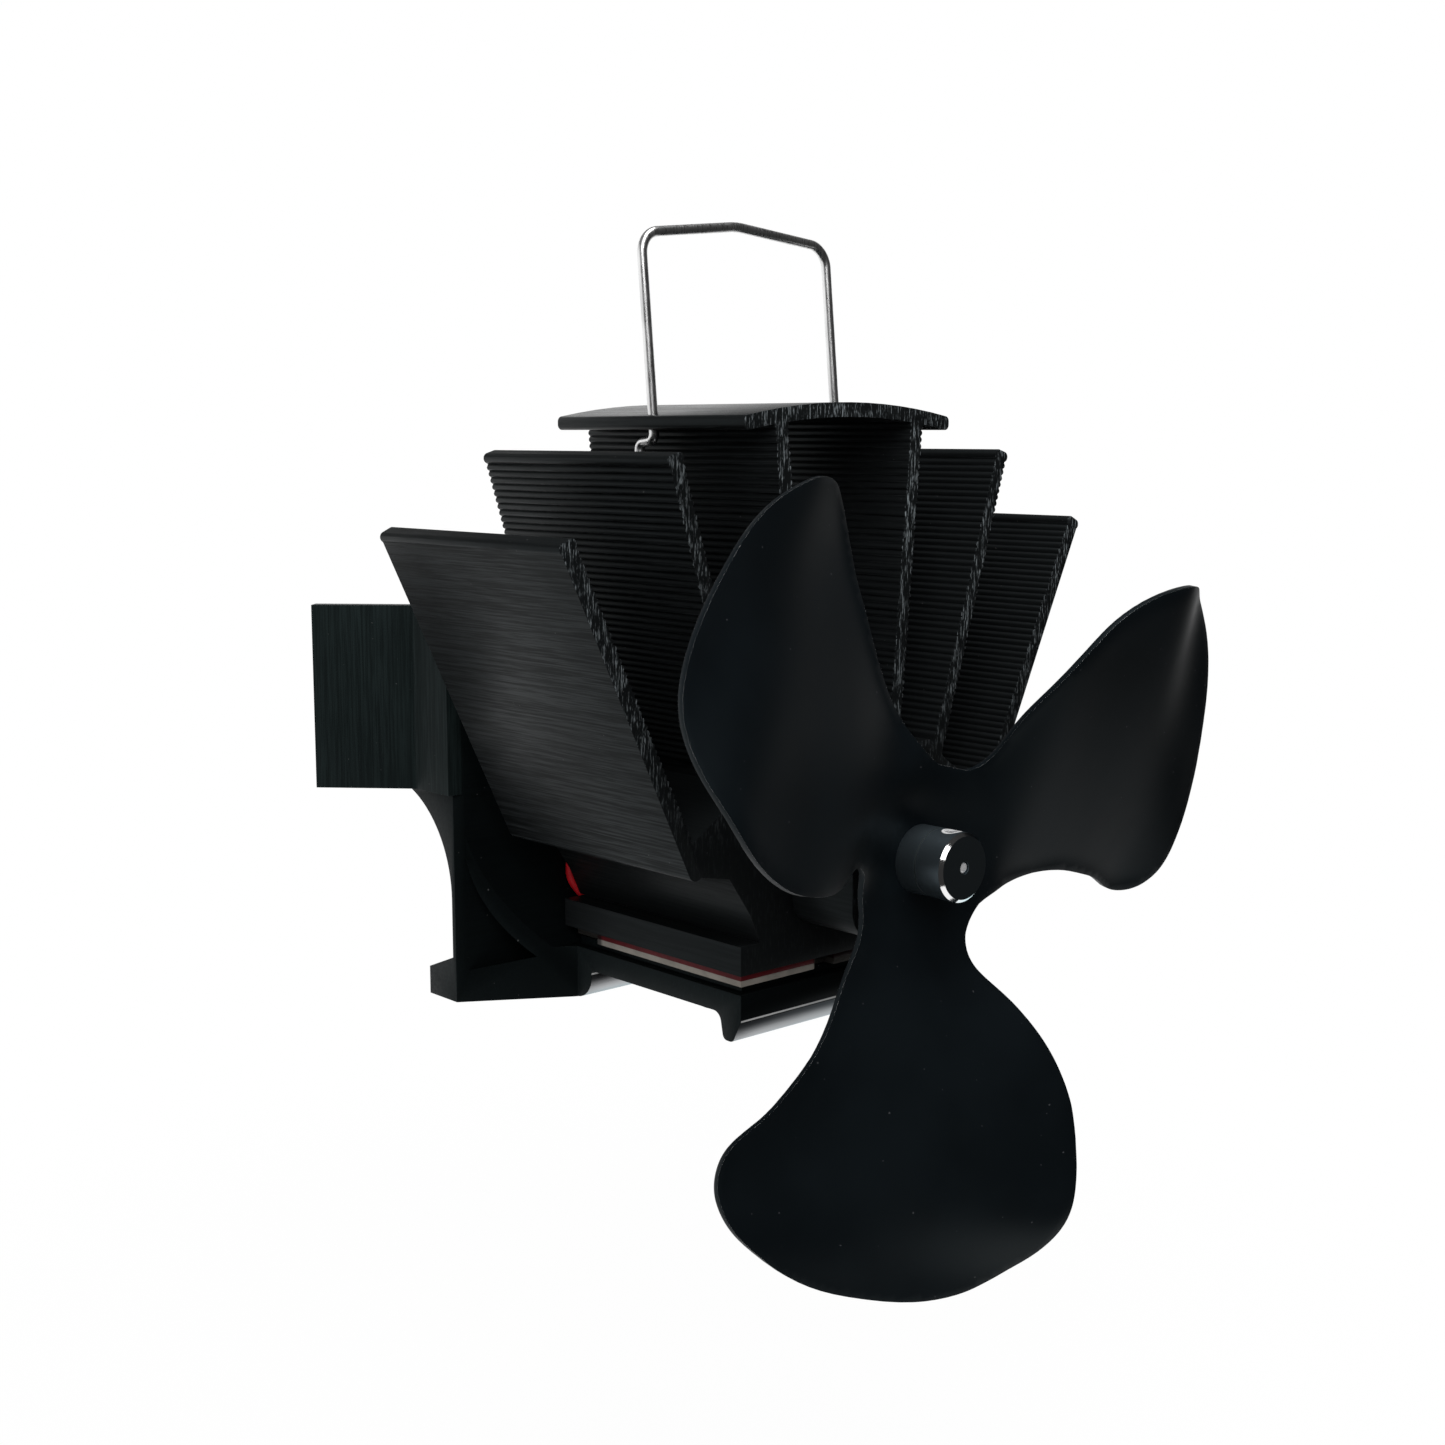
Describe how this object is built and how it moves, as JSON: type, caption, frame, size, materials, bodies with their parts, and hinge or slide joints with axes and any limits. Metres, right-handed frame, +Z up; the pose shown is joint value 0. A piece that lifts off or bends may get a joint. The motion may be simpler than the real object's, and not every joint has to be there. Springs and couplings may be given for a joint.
{
  "type": "stove flue fan",
  "caption": "Heat-powered stove fan: finned black cooler with a lobed propeller on a base whose winged saddle holds a round flue; wire carry handle.",
  "frame": {"origin": "middle of the saddle web's back face, which rests on the flue", "axes": "+Y points from the fan to the flue, +Z up, +X to the right as seen from the front (the blade side)"},
  "size_m": [0.1323, 0.1154, 0.1755],
  "materials": {
    "black_anodised": "black anodised extrusion, satin",
    "black_base": "black anodised extrusion, matt",
    "black_saddle": "black powder coat, satin",
    "blade_paint": "blue-black satin coat with bright cut edges",
    "hub_metal": "black anodised turned aluminium with a bright cut chamfer",
    "bright_steel": "bright drawn stainless wire",
    "screw_steel": "zinc-plated steel",
    "black_screw": "black oxide steel",
    "magnet_nickel": "nickel-plated magnet",
    "ceramic": "white alumina, matt",
    "pellet": "grey semiconductor metal",
    "red_silicone": "red silicone, semi-matt",
    "white_fibre": "pale fibre sheet, matt",
    "motor_steel": "plated steel can",
    "ferrite": "dark sintered ferrite",
    "bronze": "sintered bronze",
    "copper": "copper, enamelled or bare",
    "carbon": "pressed carbon",
    "dark_plastic": "moulded end cap",
    "red_sleeve": "red silicone sleeving",
    "black_sleeve": "black silicone sleeving"
  },
  "bodies": {
    "frame": {"heat_sink": "black_anodised", "hot_base": "black_base", "flue_saddle": "black_saddle", "saddle_screws": "black_screw", "saddle_magnets": "magnet_nickel", "module_cold_plate": "ceramic", "module_hot_plate": "ceramic", "module_pellets": "pellet", "module_seal": "red_silicone", "insulation_sheet": "white_fibre", "clamp_screws": "screw_steel", "clamp_washers": "screw_steel", "motor_housing": "black_anodised", "motor_can": "motor_steel", "motor_end_cap": "dark_plastic", "motor_magnets": "ferrite", "front_bush": "bronze", "rear_bush": "bronze", "motor_brushes": "carbon", "motor_terminals": "copper", "motor_screws": "black_screw", "red_lead": "red_sleeve", "black_lead": "black_sleeve"},
    "rotor": {"motor_shaft": "bright_steel", "armature_core": "motor_steel", "armature_windings": "copper", "commutator": "copper", "fan_blades": "blade_paint", "hub_ring": "hub_metal", "hub_barrel": "hub_metal", "hub_nose": "hub_metal", "hub_set_screw": "screw_steel"},
    "handle": {"carry_handle": "bright_steel"}
  },
  "joints": [
    {"name": "fan_spin", "type": "hinge", "parent": "frame", "child": "rotor", "pos_m": [0, -0.0583, -0.0226], "axis": [0, -1, 0], "continuous": true},
    {"name": "handle_slide", "type": "slide", "parent": "frame", "child": "handle", "axis": [0, -0.0958, -0.9954], "range_m": [0, 0.025]}
  ]
}
